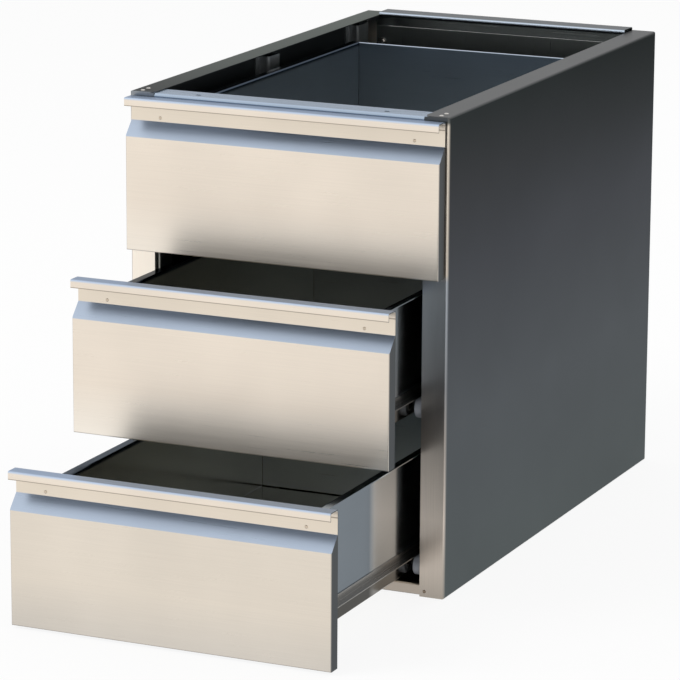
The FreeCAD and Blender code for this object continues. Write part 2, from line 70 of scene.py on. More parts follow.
camera = bpy.data.objects.new("camera", bpy.data.cameras.new("camera"))
camera.data.sensor_width = SENSOR_WIDTH
camera.data.lens = FOCAL_LENGTH_IN_PIXELS / PICTURE_WIDTH * SENSOR_WIDTH
back = Vector(
    (
        math.sin(azimuth) * math.cos(elevation),
        -math.cos(azimuth) * math.cos(elevation),
        math.sin(elevation),
    )
)
right = Vector((math.cos(azimuth), math.sin(azimuth), 0))
aim = Matrix((right, back.cross(right), back)).transposed().to_4x4()
camera.matrix_world = Matrix.Translation(CAMERA_PLACE) @ aim @ Matrix.Rotation(roll, 4, "Z")
bpy.context.scene.collection.objects.link(camera)
bpy.context.scene.camera = camera
print("lens", round(camera.data.lens, 1), "mm")

# %% [markdown]
# ## Helpers for node trees
# Every finish and every repeated piece is a tree of nodes. One function adds a node: it sets what the node
# is told to set, and fills or links its sockets. Colours are written as a screen shows them, in hex, and one
# more function turns them into the linear values that the renderer adds and multiplies. A colour socket wants
# a fourth value, which the last one adds.


# %% Helpers for nodes and colours
def add(tree, kind, sockets=None, **settings):
    """Adds a node with its settings, and fills or links its input sockets."""
    node = tree.nodes.new(kind)
    for name, value in settings.items():
        setattr(node, name, value)
    for name, value in (sockets or {}).items():
        if isinstance(value, bpy.types.NodeSocket):
            tree.links.new(value, node.inputs[name])
        else:
            node.inputs[name].default_value = value
    return node


def linear(hex_code):
    """Turns a screen colour such as #8090A0 into linear red, green and blue."""
    parts = [int(hex_code[i : i + 2], 16) / 255 for i in (1, 3, 5)]
    return [c / 12.92 if c <= 0.04045 else ((c + 0.055) / 1.055) ** 2.4 for c in parts]


def solid(hex_code):
    """A screen colour as a colour socket wants it: linear, with a fourth value."""
    return [*linear(hex_code), 1]


print("a mid grey of #808080 is", round(linear("#808080")[0], 3), "in linear light")


# %% [markdown]
# ## Brushed stainless steel
# Stainless sheet has no colour of its own to speak of: it shows what it faces. Upright faces show the warm
# ground, faces that look up show the sky, and the walls inside show each other. Under plain light that would
# be lost, so the finish carries it as painted reflection: a face takes a painted tone from the way it looks,
# and where the real sheet shows the ground below and the yard above, the painted tone fades with height. The
# squares of a normal's parts add up to one, so they weigh six tones with no seam, and a fold runs softly from
# one to the next.
# The grain is noise drawn out along the belt's direction. A 240-grit belt leaves scratches 0.05 mm wide,
# too fine to show at this distance, so they are drawn 1 mm wide and very faint.
# Seen at a very flat angle steel mirrors nearly everything, whatever its tone. A yard is darker than this
# white studio, so an edge tint takes some of that glare away.

# %% The steel's tones and grain
GRAIN_WIDTH = 1.0 * MM
GRAIN_LENGTH = 90 * MM
GRAIN_DEPTH = 0.05 * MM
SMUDGE_SIZE = 150 * MM
NOISE_ROUGHNESS = 0.6
ROUGHNESS_REACH = 0.03
EDGE_TINT = "#BCBCBC"
FACINGS = {
    "right": (0, 1),
    "left": (0, -1),
    "back": (1, 1),
    "front": (1, -1),
    "top": (2, 1),
    "under": (2, -1),
}


def tone_of(tree, coordinates, tone):
    """A tone is a colour, or a fade given as its stops, its axis and the height at which it repeats."""
    return solid(tone) if isinstance(tone, str) else fade(tree, coordinates, **tone)


def fade(tree, coordinates, stops, axis="Z", repeat=None):
    """A tone that changes along one axis. Each stop is a place in millimetres and a tone."""
    parts = add(tree, "ShaderNodeSeparateXYZ", {0: coordinates.outputs["Object"]})
    along = parts.outputs[axis]
    if repeat:
        along = add(tree, "ShaderNodeMath", {0: along, 1: repeat * MM}, operation="FLOORED_MODULO").outputs[0]
    (last, tone), *rest = stops
    result = tone_of(tree, coordinates, tone)
    for spot, tone in rest:
        share = add(
            tree, "ShaderNodeMapRange", {"Value": along, "From Min": last * MM, "From Max": spot * MM}
        )
        mixed = add(
            tree,
            "ShaderNodeMix",
            {0: share.outputs[0], 6: result, 7: tone_of(tree, coordinates, tone)},
            data_type="RGBA",
        )
        last, result = spot, mixed.outputs[2]
    return result


def tone_by_facing(tree, coordinates, tones):
    """Mixes six painted tones of light and reflection by the squares of the normal's parts. A facing without a
    tone takes the rest's.
    """
    parts = add(tree, "ShaderNodeSeparateXYZ", {0: coordinates.outputs["Normal"]})
    total = None
    for facing, (axis, sign) in FACINGS.items():
        signed = add(tree, "ShaderNodeMath", {0: parts.outputs[axis], 1: sign}, operation="MULTIPLY")
        kept = add(tree, "ShaderNodeMath", {0: signed.outputs[0], 1: 0}, operation="MAXIMUM")
        weight = add(tree, "ShaderNodeMath", {0: kept.outputs[0], 1: 2}, operation="POWER")
        tone = tone_of(tree, coordinates, tones.get(facing, tones["rest"]))
        if isinstance(tone, list):
            tone = tone[:3]
        share = add(
            tree, "ShaderNodeVectorMath", {0: tone, "Scale": weight.outputs[0]}, operation="SCALE"
        )
        if total is None:
            total = share
        else:
            total = add(tree, "ShaderNodeVectorMath", {0: total.outputs[0], 1: share.outputs[0]})
    return total.outputs[0]


def noise_on(tree, coordinates, size, detail):
    """Noise on the object's own coordinates, with a size in metres along X, Y and Z."""
    stretched = add(
        tree,
        "ShaderNodeVectorMath",
        {0: coordinates.outputs["Object"], 1: [1 / s for s in size]},
        operation="MULTIPLY",
    )
    noise = add(
        tree,
        "ShaderNodeTexNoise",
        {"Vector": stretched.outputs[0], "Scale": 1, "Detail": detail, "Roughness": NOISE_ROUGHNESS},
    )
    return noise.outputs["Fac"]


def spread(tree, value, middle, reach):
    """Maps the middle half of a noise to a range round a middle value."""
    sockets = {"Value": value, "From Min": 0.25, "From Max": 0.75}
    sockets.update({"To Min": middle - reach, "To Max": middle + reach})
    return add(tree, "ShaderNodeMapRange", sockets).outputs[0]


def brushed_steel(name, tones, roughness, grain_axis="X", grain=0.025, smudge=0.05, stretch=0.5, relief=0.05):
    """Stainless sheet ground along one axis, with a painted tone of light and reflection for each way that a
    face can look.
    """
    material = bpy.data.materials.new(name)
    material.use_nodes = True
    tree = material.node_tree
    shader = tree.nodes["Principled BSDF"]
    coordinates = add(tree, "ShaderNodeTexCoord")
    size = [GRAIN_LENGTH if axis == grain_axis else GRAIN_WIDTH for axis in "XYZ"]
    scratches = noise_on(tree, coordinates, size, 2)
    smudges = noise_on(tree, coordinates, [SMUDGE_SIZE] * 3, 2)

    tone = tone_by_facing(tree, coordinates, tones)
    for pattern, strength in ((scratches, grain), (smudges, smudge)):
        light = spread(tree, pattern, 1, strength)
        tone = add(tree, "ShaderNodeVectorMath", {0: tone, "Scale": light}, operation="SCALE").outputs[0]
    bump = add(tree, "ShaderNodeBump", {"Height": scratches, "Strength": relief, "Distance": GRAIN_DEPTH})
    # A little of the other axes keeps the product alive on faces that look along the grain.
    nearly_along = [1.0 if axis == grain_axis else 0.02 for axis in "XYZ"]
    across = add(
        tree,
        "ShaderNodeVectorMath",
        {0: coordinates.outputs["Normal"], 1: nearly_along},
        operation="CROSS_PRODUCT",
    )
    tree.links.new(tone, shader.inputs["Base Color"])
    tree.links.new(spread(tree, scratches, roughness, ROUGHNESS_REACH), shader.inputs["Roughness"])
    tree.links.new(bump.outputs[0], shader.inputs["Normal"])
    tree.links.new(across.outputs[0], shader.inputs["Tangent"])
    shader.inputs["Metallic"].default_value = 1.0
    shader.inputs["Anisotropic"].default_value = stretch
    shader.inputs["Specular Tint"].default_value = solid(EDGE_TINT)
    return material


print("grain of", round(GRAIN_LENGTH / MM), "by", round(GRAIN_WIDTH / MM), "mm, for six ways to face")


# %% [markdown]
# ### The drawer fronts
# Each front is one sheet: main face, finger slope, set-back strip and a cap with a lip. The main face, strip
# and lip look at the warm ground, the slope and the top of the cap at the sky, so the painted reflection jumps
# at each fold. A painted shade runs along the bottom fold and under the lip. The folds lie alike on all three,
# so a loop makes the stops. Only the main faces differ a little, because each mirrors another stretch of
# ground, which is painted into its tone.

# %% The drawer fronts' sheet
DRAWER_PITCH = 186.5
LOWEST_FOOT = 3.5
# Painted reflections of the warm ground and the sky, and the painted shade under the lip.
WARM_REFLECTION, SKY_REFLECTION, SHADE_UNDER_LIP = "#E6DAC9", "#C6D6EA", "#A89C8E"
FOOT_REFLECTION = {1: "#F2E9DC", 2: "#F8F0E4", 3: "#D4CDC3"}
MIDDLE_REFLECTION = {1: "#EDE1D2", 2: "#EDE1D2", 3: "#E2D8CA"}
FRONT_PAINTED_LIGHT = []
# Each front's stops: painted shade along the bottom fold, painted reflections on the faces, painted shade
# under the lip.
for n in DRAWERS[::-1]:
    foot = LOWEST_FOOT + (len(DRAWERS) - n) * DRAWER_PITCH
    main_face = [(0, "#96867A"), (1.5, FOOT_REFLECTION[n]), (60, MIDDLE_REFLECTION[n]), (133, MIDDLE_REFLECTION[n])]
    slope = [(134, "#C4D0DE"), (150, "#B8C2CF")]
    strip = [(151, WARM_REFLECTION), (168.6, WARM_REFLECTION), (169, SHADE_UNDER_LIP), (170, SHADE_UNDER_LIP)]
    cap = [(170.4, "#EDE1D2"), (176, "#EDE1D2"), (178, SKY_REFLECTION)]
    FRONT_PAINTED_LIGHT += [(foot + height, tone) for height, tone in main_face + slope + strip + cap]
# Stainless sheet, ground along its width: faint level lines, no sharp mirror image. The warm front, the blue
# tops and the dark right cheek are painted reflection.
front_steel = brushed_steel(
    "stainless_ground_along_the_drawer_front",
    {
        "front": {"stops": FRONT_PAINTED_LIGHT},
        "top": "#AEBED6",
        "right": "#5B5E60",
        "left": "#8C8A86",
        "back": "#6A6E72",
        "under": "#A4A8AC",
        "rest": "#8A8A88",
    },
    roughness=0.3,
)
print(front_steel.name, "has", len(front_steel.node_tree.nodes), "nodes")

# %% [markdown]
# ### The case
# The sides are ground upright. Seen at a slant they mirror the yard beside the unit, which is painted into
# their tone: dark at the top and paler towards the ground, while their narrow front flanges get painted light
# in the warm tone of the fronts. The rails, the back and the floor come as the mill rolled them: a little
# smoother, greyer and more even.

# %% The case's sides
# Painted reflections of the yard on the sides, darker towards the top, and painted light on the front flanges.
LEFT_SIDE_REFLECTION = [(0, "#84888A"), (200, "#828689"), (380, "#74787C"), (560, "#63676A")]
RIGHT_UPPER_REFLECTION = {"axis": "Y", "stops": [(-335, "#404245"), (335, "#34383A")]}
RIGHT_TOP_REFLECTION = {"axis": "Y", "stops": [(-335, "#303536"), (335, "#1E2424")]}
RIGHT_SIDE_REFLECTION = [(0, "#5F6667"), (200, "#5E6367"), (380, "#4C4F54"), (480, RIGHT_UPPER_REFLECTION), (560, RIGHT_TOP_REFLECTION)]
FLANGE_PAINTED_LIGHT = [(0, "#A69E94"), (93, "#E2D5C9"), (190, "#B0A8A0"), (250, "#98999B"), (330, "#A8AEB4")]
FLANGE_PAINTED_LIGHT += [(372, "#B0B6BC"), (380, "#E0D4C4"), (550, "#F0E4D4"), (554, "#6F706E"), (561, "#5E5F5E")]
# Stainless sheet, ground upright, whose faint lines run from top to foot. The dark tone of the wall is a
# painted reflection of the yard.
right_side_steel = brushed_steel(
    "stainless_ground_upright_right_side",
    {
        "right": {"stops": RIGHT_SIDE_REFLECTION},
        "front": {"stops": FLANGE_PAINTED_LIGHT},
        "top": "#78797A",
        "left": "#EEECE4",
        "back": "#B4B4B0",
        "rest": "#3A3C3E",
    },
    grain_axis="Z",
    roughness=0.32,
    grain=0.06,
)
# The same sheet on the other side, painted paler than the right and darker towards the top, with painted
# reflections on its front flange and top.
left_side_steel = brushed_steel(
    "stainless_ground_upright_left_side",
    {
        "left": {"stops": LEFT_SIDE_REFLECTION},
        "front": {"stops": [(0, "#FFF4E6"), (530, "#FFF4E6"), (552, "#8F9499"), (560, "#8F9499")]},
        "top": {"stops": [(-335, "#3A3D3D"), (-100, "#565E59"), (335, "#616A64")], "axis": "Y"},
        "right": "#565B5E",
        "back": "#7C8084",
        "rest": "#3A3C3E",
    },
    grain_axis="Z",
    roughness=0.32,
    grain=0.06,
)
print(right_side_steel.name, "and", left_side_steel.name)

# %% The rails, the back, the uprights and the floor
# Stainless sheet as rolled: the rail's top is an even pale blue, a painted reflection of the sky above it, and
# its back and the rest are painted dark as painted shade.
rail_steel = brushed_steel(
    "stainless_as_rolled_front_rail",
    {"top": "#B8C8DC", "front": "#A4B4C6", "back": "#4C5156", "rest": "#4A4E52"},
    roughness=0.25,
)
# The rear rail is painted duller on top, and its narrow lip gets a painted highlight, the brightest line at
# the back. The leg behind the lip is painted as dark as the panel below it, and its other faces are in painted
# shade.
REAR_LIP_HIGHLIGHT = {"stops": [(560.5, "#2E3334"), (561, "#DCEAFA")]}
rear_rail_steel = brushed_steel(
    "stainless_as_rolled_rear_rail",
    {
        "top": "#757A7F",
        "front": {"axis": "Y", "stops": [(315, REAR_LIP_HIGHLIGHT), (325, "#9CA2A0")]},
        "back": "#7C8084",
        "rest": "#1E2222",
    },
    roughness=0.25,
)
# The back panel has cloudy patches from handling, which show as slow changes of tone. Its top edge is
# painted near black as painted shade, so that it catches no bright line.
back_panel_steel = brushed_steel(
    "stainless_as_rolled_back_panel",
    {"front": "#9CA2A0", "back": "#84888C", "top": "#161818", "rest": "#62676A"},
    grain_axis="Z",
    roughness=0.3,
    smudge=0.12,
)
# Uprights and channels are plain stainless: they are pale themselves and only look dark for want of light.
upright_steel = brushed_steel(
    "stainless_as_rolled_uprights",
    {"rest": "#C6CACC"},
    grain_axis="Z",
    roughness=0.3,
    smudge=0.12,
)
# The floor's upturned end gets a painted reflection of the warm ground, a thin pale stripe under the lowest
# drawer. Its top and the rest are painted dark as painted shade inside the case.
floor_steel = brushed_steel(
    "stainless_as_rolled_floor",
    {"front": "#B0A69B", "top": "#6A6762", "rest": "#55575A"},
    roughness=0.3,
)
case_steels = (rail_steel, rear_rail_steel, back_panel_steel, upright_steel, floor_steel)
print([material.name for material in case_steels])

# %% [markdown]
# ### The drawer boxes
# Boxes are folded from bright-annealed sheet. It is much smoother than ground sheet, so the walls mirror the
# ground outside and each other inside. That is why the roughness is low here and the tones are pale: the dark
# inside comes from light that dies out over many bounces, not from a dark colour.

# %% The drawer boxes' sheets
# A place in a fade that repeats is a height above the floor, less whole steps from drawer to drawer. The two
# lower drawers stand open over warm ground, which is painted into their insides as a warm reflection, and the
# top one is shut. The left rim and the top of the left wall's inner face are painted dark, and the right rim
# pale blue as a painted reflection of the sky. Ahead of a line an outer wall gets a painted reflection of the
# yard, and behind it one of the case's own front flange.
# Painted light in the boxes: a warm painted reflection in the lower drawers, a dark left rim and a pale right
# rim.
BOX_INSIDE_REFLECTION = {"stops": [(170, "#F0EADC"), (195, "#E6E0D2"), (360, "#E6E0D2"), (400, "#D8DADA")]}
LEFT_RIM_PAINTED_DARK = {"repeat": DRAWER_PITCH, "stops": [(161, BOX_INSIDE_REFLECTION), (163, "#4E5864")]}
RIGHT_RIM_PAINTED_SKY = {"repeat": DRAWER_PITCH, "stops": [(161, BOX_INSIDE_REFLECTION), (163, "#BCC8D6")]}
INNER_WALL_PAINTED_DARK = {"repeat": DRAWER_PITCH, "stops": [(161, BOX_INSIDE_REFLECTION), (164, "#444E5A")]}
# Below the runner, at 46 mm in each step, the outer wall is painted darker as the runner's shadow.
WALL_AHEAD_PAINTED_LIGHT = {"repeat": DRAWER_PITCH, "stops": [(46, "#605F5C"), (47, "#828A91")]}
WALL_BEHIND_PAINTED_LIGHT = {"repeat": DRAWER_PITCH, "stops": [(46, "#9C9A96"), (47, "#C8CBCC")]}
OUTER_WALL_PAINTED_LIGHT = {"axis": "Y", "stops": [(-445, WALL_AHEAD_PAINTED_LIGHT), (-430, WALL_BEHIND_PAINTED_LIGHT)]}
# Bright-annealed stainless: a near mirror with hardly any grain. Its wall below the runner is painted darker,
# as the runner's shadow.
box_steel = brushed_steel(
    "stainless_bright_annealed_drawer_box",
    {
        "right": {"axis": "X", "stops": [(-1, INNER_WALL_PAINTED_DARK), (1, OUTER_WALL_PAINTED_LIGHT)]},
        "left": BOX_INSIDE_REFLECTION,
        "top": {"axis": "X", "stops": [(-1, LEFT_RIM_PAINTED_DARK), (1, RIGHT_RIM_PAINTED_SKY)]},
        "rest": BOX_INSIDE_REFLECTION,
    },
    grain_axis="Y",
    roughness=0.14,
    stretch=0.2,
    relief=0.01,
)
# The back of a box is as rolled: blue-grey, painted darker towards the top as painted reflection, with a
# painted highlight along the hem at its top.
drawer_back_steel = brushed_steel(
    "stainless_as_rolled_drawer_back",
    {
        "front": {"repeat": DRAWER_PITCH, "stops": [(26, "#A2AEBA"), (110, "#84919C"), (167, "#6C7A88")]},
        "top": "#E4F0FF",
        "back": "#6A6E72",
        "rest": "#8A8E92",
    },
    roughness=0.3,
)
# Runners are brownish grey, with a painted highlight on top and painted shade underneath.
runner_steel = brushed_steel(
    "stainless_as_rolled_runner",
    {"right": "#A4A29E", "left": "#A4A29E", "top": "#B8BABC", "under": "#6C6B68", "rest": "#A09E9A"},
    grain_axis="Y",
    roughness=0.25,
)
print([material.name for material in (box_steel, drawer_back_steel, runner_steel)])

# %% [markdown]
# ## Nylon rollers and steel fasteners
# Moulded nylon is a pale, slightly cloudy plastic with a satin skin that dirt dulls unevenly. The rivets and
# bolts are drawn stainless wire, headed in a die: smoother than the sheet round them. The screws at the feet
# are dark, as zinc-plated ones go outdoors.


# %% Nylon and fastener finishes
def plain_finish(name, base, darker, metallic, roughness, patch):
    """A small part's finish: two near tones and two roughnesses, mixed by soft noise of a real size."""
    material = bpy.data.materials.new(name)
    material.use_nodes = True
    tree = material.node_tree
    shader = tree.nodes["Principled BSDF"]
    coordinates = add(tree, "ShaderNodeTexCoord")
    cloud = noise_on(tree, coordinates, [patch] * 3, 3)
    tone = add(
        tree,
        "ShaderNodeMix",
        {0: cloud, 6: solid(darker), 7: solid(base)},
        data_type="RGBA",
    )
    tree.links.new(tone.outputs[2], shader.inputs["Base Color"])
    tree.links.new(spread(tree, cloud, roughness, 2 * ROUGHNESS_REACH), shader.inputs["Roughness"])
    shader.inputs["Metallic"].default_value = metallic
    return material


# Moulded nylon: pale grey, cloudy and satin, the only part that is not metal.
nylon = plain_finish("nylon_moulded_front_roller", "#A8ADB6", "#868A92", 0, 0.42, 9 * MM)
# The rear rollers sit in the channels deep in the case, so their nylon is painted darker as painted shade.
painted_shade_nylon = plain_finish("nylon_rear_roller_painted_shade", "#5C6066", "#45484D", 0, 0.45, 9 * MM)
# Headed stainless: a small bright point of light on each head.
rivet_steel = plain_finish("stainless_headed_rivet", "#DAD6D0", "#9C9A98", 1, 0.22, 2 * MM)
# The rivets in the drawers' strips get a painted reflection of the warm strip round them and nearly vanish.
strip_rivet_steel = plain_finish("stainless_headed_strip_rivet", "#E6D8C4", "#C4B29C", 1, 0.3, 2 * MM)
# Zinc-plated screws turn brown and dull outdoors.
screw_steel = plain_finish("zinc_plated_foot_screw", "#9A8A7A", "#6C5E50", 1, 0.4, 2 * MM)
print(nylon.name, "and", rivet_steel.name)

# %% [markdown]
# ## Growing pieces from a few points
# What repeats on this unit is made by Geometry Nodes: the script gives a tree the points of a path or the
# centres of some heads, and the tree grows the metal round them from named sizes. The evaluated result is
# then copied to a plain mesh, so no tree is left live on a finished piece. One modifier stays on it, which
# weighs its normals by the size of the faces.

# %% Helpers for trees that grow pieces
GEOMETRY = "NodeSocketGeometry"
SOFT_ANGLE = math.radians(30)
MERGE_REACH = 0.002 * MM


def new_tree(name, inputs):
    """A Geometry Nodes tree with a geometry input and named inputs."""
    tree = bpy.data.node_groups.new(name, "GeometryNodeTree")
    tree.interface.new_socket("Geometry", in_out="INPUT", socket_type=GEOMETRY)
    for label, kind in inputs.items():
        tree.interface.new_socket(label, in_out="INPUT", socket_type=f"NodeSocket{kind}")
    tree.interface.new_socket("Geometry", in_out="OUTPUT", socket_type=GEOMETRY)
    return tree, add(tree, "NodeGroupInput").outputs


def shade_folds(tree, geometry):
    """Shades faces softly and keeps the edges crisp that turn by more than the soft angle."""
    angle = add(tree, "GeometryNodeInputMeshEdgeAngle")
    soft = add(
        tree,
        "FunctionNodeCompare",
        {0: angle.outputs["Unsigned Angle"], 1: SOFT_ANGLE},
        data_type="FLOAT",
        operation="LESS_THAN",
    )
    faces = add(tree, "GeometryNodeSetShadeSmooth", {"Geometry": geometry, "Shade Smooth": True})
    edges = add(
        tree,
        "GeometryNodeSetShadeSmooth",
        {"Geometry": faces.outputs[0], "Shade Smooth": soft.outputs[0]},
        domain="EDGE",
    )
    return edges.outputs[0]


def close_tree(tree, geometry, material):
    """Ends a tree: made real, merged, shaded and given its finish."""
    real = add(tree, "GeometryNodeRealizeInstances", {"Geometry": geometry})
    merged = add(
        tree, "GeometryNodeMergeByDistance", {"Geometry": real.outputs[0], "Distance": MERGE_REACH}
    )
    shaded = shade_folds(tree, merged.outputs[0])
    finish = add(tree, "GeometryNodeSetMaterial", {"Geometry": shaded, "Material": material})
    add(tree, "NodeGroupOutput", {0: finish.outputs[0]})


def keep_flats_flat(piece):
    """Lets wide faces rule the shading, so that a flat wall mirrors flat right up to its soft edges."""
    normals = piece.modifiers.new("Keep flats flat", "WEIGHTED_NORMAL")
    normals.weight = 100
    normals.keep_sharp = True


def grow(name, tree, points, edges, values):
    """Runs a tree on points and edges in millimetres and returns the result as a plain mesh piece."""
    seed = bpy.data.meshes.new(name)
    seed.from_pydata([Vector(point) * MM for point in points], edges, [])
    piece = bpy.data.objects.new(name, seed)
    bpy.context.scene.collection.objects.link(piece)
    modifier = piece.modifiers.new("Grow", "NODES")
    modifier.node_group = tree
    sockets = {item.name: item.identifier for item in tree.interface.items_tree if item.in_out == "INPUT"}
    for label, value in values.items():
        modifier[sockets[label]] = value
    grown = piece.evaluated_get(bpy.context.evaluated_depsgraph_get())
    mesh = bpy.data.meshes.new_from_object(grown)
    piece.modifiers.remove(modifier)
    piece.data = mesh
    bpy.data.meshes.remove(seed)
    shell = bmesh.new()
    shell.from_mesh(mesh)
    bmesh.ops.recalc_face_normals(shell, faces=shell.faces)
    shell.to_mesh(mesh)
    shell.free()
    mesh.name = name
    keep_flats_flat(piece)
    return piece


def stand_in_for(piece, node, body):
    """Lets a piece take a node's place and body. Returns how far their boxes differ, in millimetres."""
    low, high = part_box(node)
    corners = [vertex.co for vertex in piece.data.vertices]
    own_low = Vector([min(corner[axis] for corner in corners) for axis in range(3)])
    own_high = Vector([max(corner[axis] for corner in corners) for axis in range(3)])
    offset = max(abs(a - b) for a, b in zip([*own_low, *own_high], [*low, *high]))
    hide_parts(node)
    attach(piece, body)
    return offset / MM


print("edges that turn by less than", round(math.degrees(SOFT_ANGLE)), "degrees are shaded softly")

# %% [markdown]
# ## Angles, channels and uprights with real bends
# The runners, the rollers' channels and the hat-shaped uprights are strips bent on a press brake: one path of
# folds, the same all along. Cutting them from blocks would lose the bends. A tree rounds a path's corners to
# the bend's radius, runs it along the strip, and thickens the skin to the gauge. The hemmed backs of the
# drawers are folded by the same tree.


# %% A tree that folds a strip
def folded_strip_tree():
    """Rounds a path's corners, runs it along a vector and thickens it."""
    inputs = {"Bend radius": "Float", "Run": "Vector", "Thickness": "Float", "Finish": "Material"}
    tree, given = new_tree("Folded strip", inputs)
    path = add(tree, "GeometryNodeMeshToCurve", {"Mesh": given["Geometry"]})
    bent = add(
        tree,
        "GeometryNodeFilletCurve",
        {"Curve": path.outputs[0], "Count": 5, "Radius": given["Bend radius"]},
        mode="POLY",
    )
    line = add(tree, "GeometryNodeCurveToMesh", {"Curve": bent.outputs[0]})
    along = {"Mesh": line.outputs[0], "Offset": given["Run"]}
    skin = add(tree, "GeometryNodeExtrudeMesh", along, mode="EDGES")
    lifted = add(
        tree,
        "GeometryNodeExtrudeMesh",
        {"Mesh": skin.outputs[0], "Offset Scale": given["Thickness"], "Individual": False},
        mode="FACES",
    )
    lower = add(tree, "GeometryNodeFlipFaces", {"Mesh": skin.outputs[0]})
    both = add(tree, "GeometryNodeJoinGeometry")
    tree.links.new(lifted.outputs[0], both.inputs[0])
    tree.links.new(lower.outputs[0], both.inputs[0])
    close_tree(tree, both.outputs[0], given["Finish"])
    return tree


FOLDED_STRIP = folded_strip_tree()
print(FOLDED_STRIP.name, "takes", [item.name for item in FOLDED_STRIP.interface.items_tree[1:-1]])


def folded_strip(name, corners, run, thickness, radius, finish):
    """A strip whose path is folded at each corner and run along a vector, all in millimetres."""
    edges = [(i, i + 1) for i in range(len(corners) - 1)]
    values = {
        "Bend radius": radius * MM,
        "Run": Vector(run) * MM,
        "Thickness": thickness * MM,
        "Finish": finish,
    }
    return grow(name, FOLDED_STRIP, corners, edges, values)


# %% Fold the runners, channels, uprights and drawer backs
CASE_SHEET, CHANNEL_BEND, UPRIGHT_BEND, UPRIGHT_FOOT = 1.2, 3.2, 2.6, 10
DRAWER_SHEET, DRAWER_BEND, HEM_HEIGHT = 1.0, 1.2, 8


def millimetres(node):
    """A node's lowest and highest corner in millimetres."""
    low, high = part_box(node)
    return Vector(low) / MM, Vector(high) / MM


offsets = []
for side, sign in SIDES.items():
    for n in DRAWERS:
        low, high = millimetres(f"drawer_{n}_runner_{side}")
        inner, outer = (low.x, high.x) if sign > 0 else (high.x, low.x)
        corners = [(inner, low.y, high.z), (inner, low.y, low.z), (outer, low.y, low.z)]
        run = (0, high.y - low.y, 0)
        gauge = -sign * DRAWER_SHEET
        strip = folded_strip(f"runner_{n}_{side}", corners, run, gauge, DRAWER_BEND, runner_steel)
        offsets.append(stand_in_for(strip, f"drawer_{n}_runner_{side}", f"drawer_{n}"))

        low, high = millimetres(f"channel_{n}_{side}")
        mouth, web = (low.x, high.x) if sign > 0 else (high.x, low.x)
        corners = [(mouth, low.y, low.z), (web, low.y, low.z), (web, low.y, high.z), (mouth, low.y, high.z)]
        run = (0, high.y - low.y, 0)
        gauge = -sign * CASE_SHEET
        strip = folded_strip(f"roller_channel_{n}_{side}", corners, run, gauge, CHANNEL_BEND, upright_steel)
        offsets.append(stand_in_for(strip, f"channel_{n}_{side}", "cabinet"))
    for spot in ("front", "middle", "rear"):
        low, high = millimetres(f"upright_{spot}_{side}")
        wall, face = (high.x, low.x + CASE_SHEET) if sign > 0 else (low.x, high.x - CASE_SHEET)
        corners = [
            (wall, low.y, low.z),
            (wall, low.y + UPRIGHT_FOOT, low.z),
            (face, low.y + UPRIGHT_FOOT, low.z),
            (face, high.y - UPRIGHT_FOOT, low.z),
            (wall, high.y - UPRIGHT_FOOT, low.z),
            (wall, high.y, low.z),
        ]
        run = (0, 0, high.z - low.z)
        gauge = sign * CASE_SHEET
        strip = folded_strip(f"hat_upright_{spot}_{side}", corners, run, gauge, UPRIGHT_BEND, upright_steel)
        offsets.append(stand_in_for(strip, f"upright_{spot}_{side}", "cabinet"))
for n in DRAWERS:
    low, high = millimetres(f"drawer_{n}_back")
    corners = [(low.y, low.z), (low.y, high.z), (high.y, high.z), (high.y, high.z - HEM_HEIGHT)]
    corners = [(low.x, y, z) for y, z in corners]
    run = (high.x - low.x, 0, 0)
    strip = folded_strip(f"hemmed_back_{n}", corners, run, -DRAWER_SHEET, DRAWER_BEND, drawer_back_steel)
    offsets.append(stand_in_for(strip, f"drawer_{n}_back", f"drawer_{n}"))
print(len(offsets), "strips; largest offset from their nodes", round(max(offsets), 2), "mm")

# %% [markdown]
# ## Turned rollers
# A drawer roller is a moulded nylon wheel with a smooth tread, a dished face and a hub that runs on its pin.
# It is the same all round, so a closed outline is swept round a circle: the outline's corners are rounded
# first, as a mould's are, and the circle's radius is where the outline's origin sits.


# %% A tree that turns an outline round an axis
def turned_tree():
    """Eases an outline's corners, sweeps it round a circle and sets the wheel on its axis."""
    inputs = {"Mean radius": "Float", "Edge radius": "Float", "Place": "Vector", "Finish": "Material"}
    tree, given = new_tree("Turned part", inputs)
    outline = add(tree, "GeometryNodeMeshToCurve", {"Mesh": given["Geometry"]})
    eased = add(
        tree,
        "GeometryNodeFilletCurve",
        {"Curve": outline.outputs[0], "Count": 2, "Radius": given["Edge radius"]},
        mode="POLY",
    )
    round_path = add(
        tree, "GeometryNodeCurvePrimitiveCircle", {"Resolution": 72, "Radius": given["Mean radius"]}
    )
    wheel = add(
        tree,
        "GeometryNodeCurveToMesh",
        {"Curve": round_path.outputs[0], "Profile Curve": eased.outputs[0]},
    )
    set_up = add(
        tree,
        "GeometryNodeTransform",
        {"Geometry": wheel.outputs[0], "Translation": given["Place"], "Rotation": (0, math.pi / 2, 0)},
    )
    close_tree(tree, set_up.outputs[0], given["Finish"])
    return tree


TURNED_PART = turned_tree()
print(TURNED_PART.name, "has", len(TURNED_PART.nodes), "nodes")

